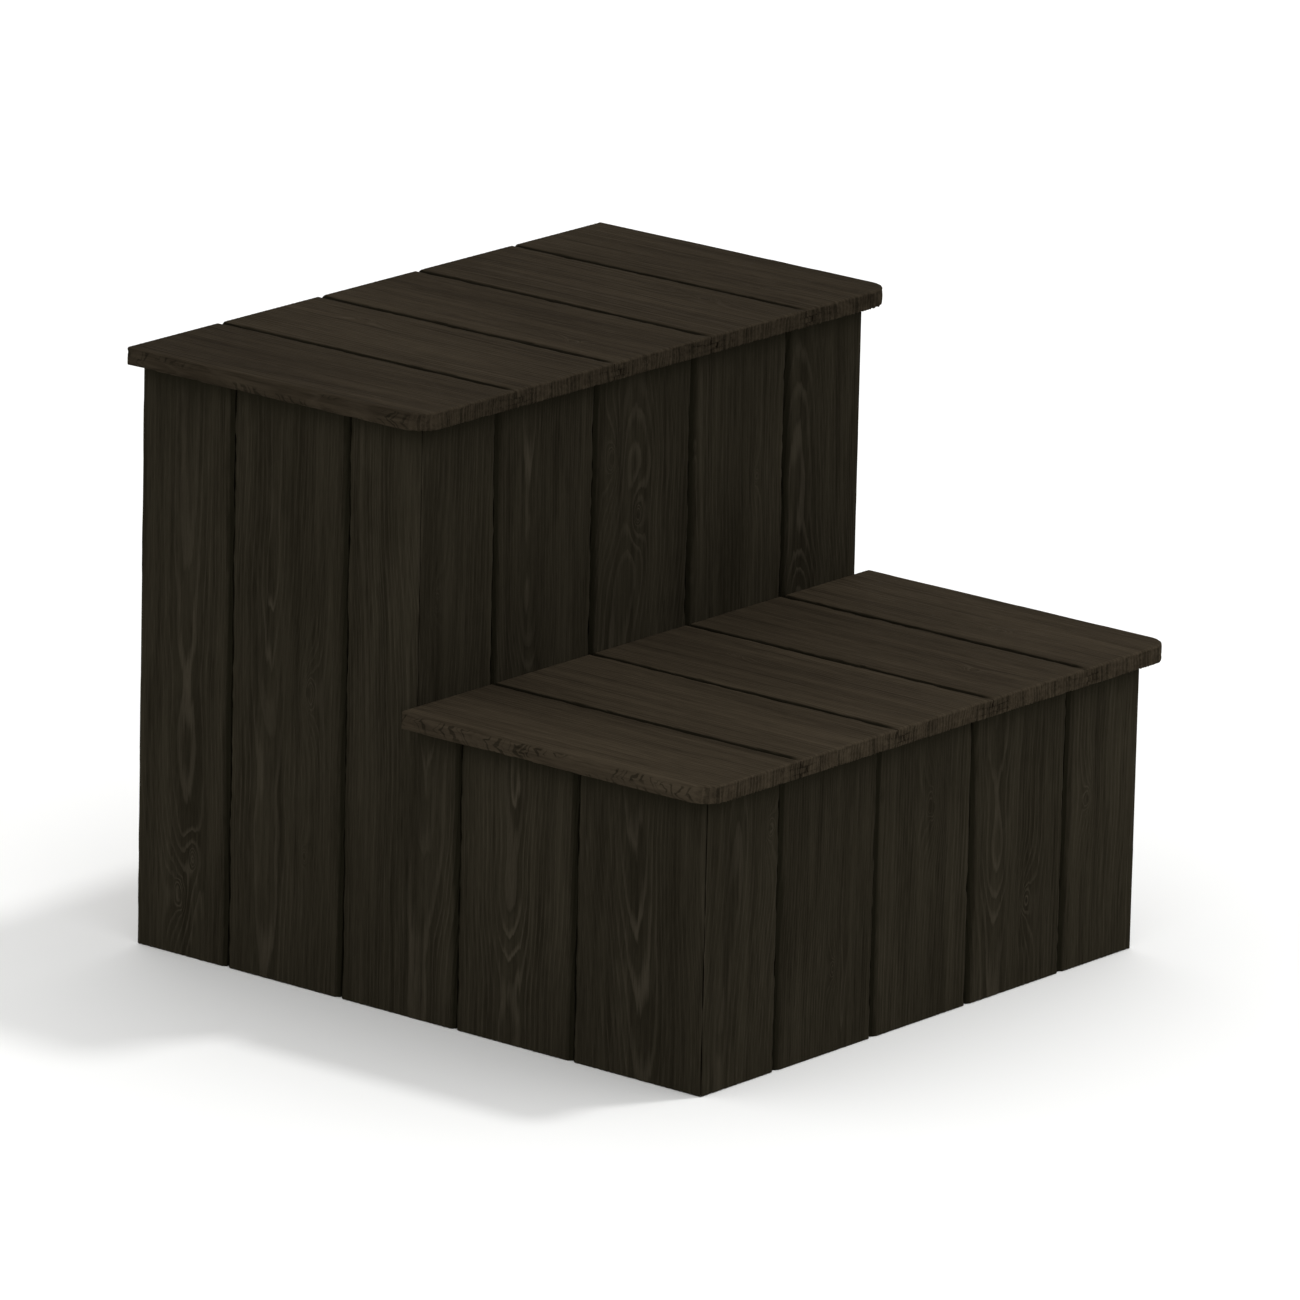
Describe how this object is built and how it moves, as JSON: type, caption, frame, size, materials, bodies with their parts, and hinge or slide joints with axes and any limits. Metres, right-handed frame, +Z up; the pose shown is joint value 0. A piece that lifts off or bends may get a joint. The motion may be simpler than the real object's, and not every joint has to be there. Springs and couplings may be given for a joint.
{
  "type": "spa steps",
  "caption": "Wooden spa steps with low and high treads, clad all round in dark stained tongue-and-groove boards on a timber frame, open at the back.",
  "frame": {"origin": "on the floor, under the middle of the steps' outer box", "axes": "+X to the right seen from the front, +Y back towards the spa, +Z up"},
  "size_m": [0.544, 0.563, 0.464],
  "materials": {
    "wall_boards": "dark brown stained brushed pine, satin",
    "tread_boards": "dark brown stained brushed pine, worn a little lighter",
    "frame_timber": "planed pine, thin dark stain",
    "steel": "stainless screws, satin"
  },
  "bodies": {
    "root": {"frame_screws": "steel", "front_board_1": "wall_boards", "front_board_2": "wall_boards", "front_board_3": "wall_boards", "front_board_4": "wall_boards", "front_board_5": "wall_boards", "front_bottom_rail": "frame_timber", "front_top_rail": "frame_timber", "front_wall_screws": "steel", "left_board_1": "wall_boards", "left_board_2": "wall_boards", "left_board_3": "wall_boards", "left_board_4": "wall_boards", "left_board_5": "wall_boards", "left_bottom_rail": "frame_timber", "left_front_post": "frame_timber", "left_low_rail": "frame_timber", "left_middle_post": "frame_timber", "left_rear_post": "frame_timber", "left_top_rail": "frame_timber", "left_wall_screws": "steel", "low_tread_bearer": "frame_timber", "low_tread_board_1": "tread_boards", "low_tread_board_2": "tread_boards", "low_tread_board_3": "tread_boards", "low_tread_board_4": "tread_boards", "low_tread_board_5": "tread_boards", "low_tread_ledger": "frame_timber", "low_tread_screws": "steel", "rear_bottom_rail": "frame_timber", "rear_top_rail": "frame_timber", "right_board_1": "wall_boards", "right_board_2": "wall_boards", "right_board_3": "wall_boards", "right_board_4": "wall_boards", "right_board_5": "wall_boards", "right_bottom_rail": "frame_timber", "right_front_post": "frame_timber", "right_low_rail": "frame_timber", "right_middle_post": "frame_timber", "right_rear_post": "frame_timber", "right_top_rail": "frame_timber", "right_wall_screws": "steel", "riser_board_1": "wall_boards", "riser_board_2": "wall_boards", "riser_board_3": "wall_boards", "riser_board_4": "wall_boards", "riser_board_5": "wall_boards", "riser_bottom_rail": "frame_timber", "riser_screws": "steel", "riser_top_rail": "frame_timber", "top_tread_bearer": "frame_timber", "top_tread_board_1": "tread_boards", "top_tread_board_2": "tread_boards", "top_tread_board_3": "tread_boards", "top_tread_board_4": "tread_boards", "top_tread_board_5": "tread_boards", "top_tread_screws": "steel"}
  },
  "joints": []
}
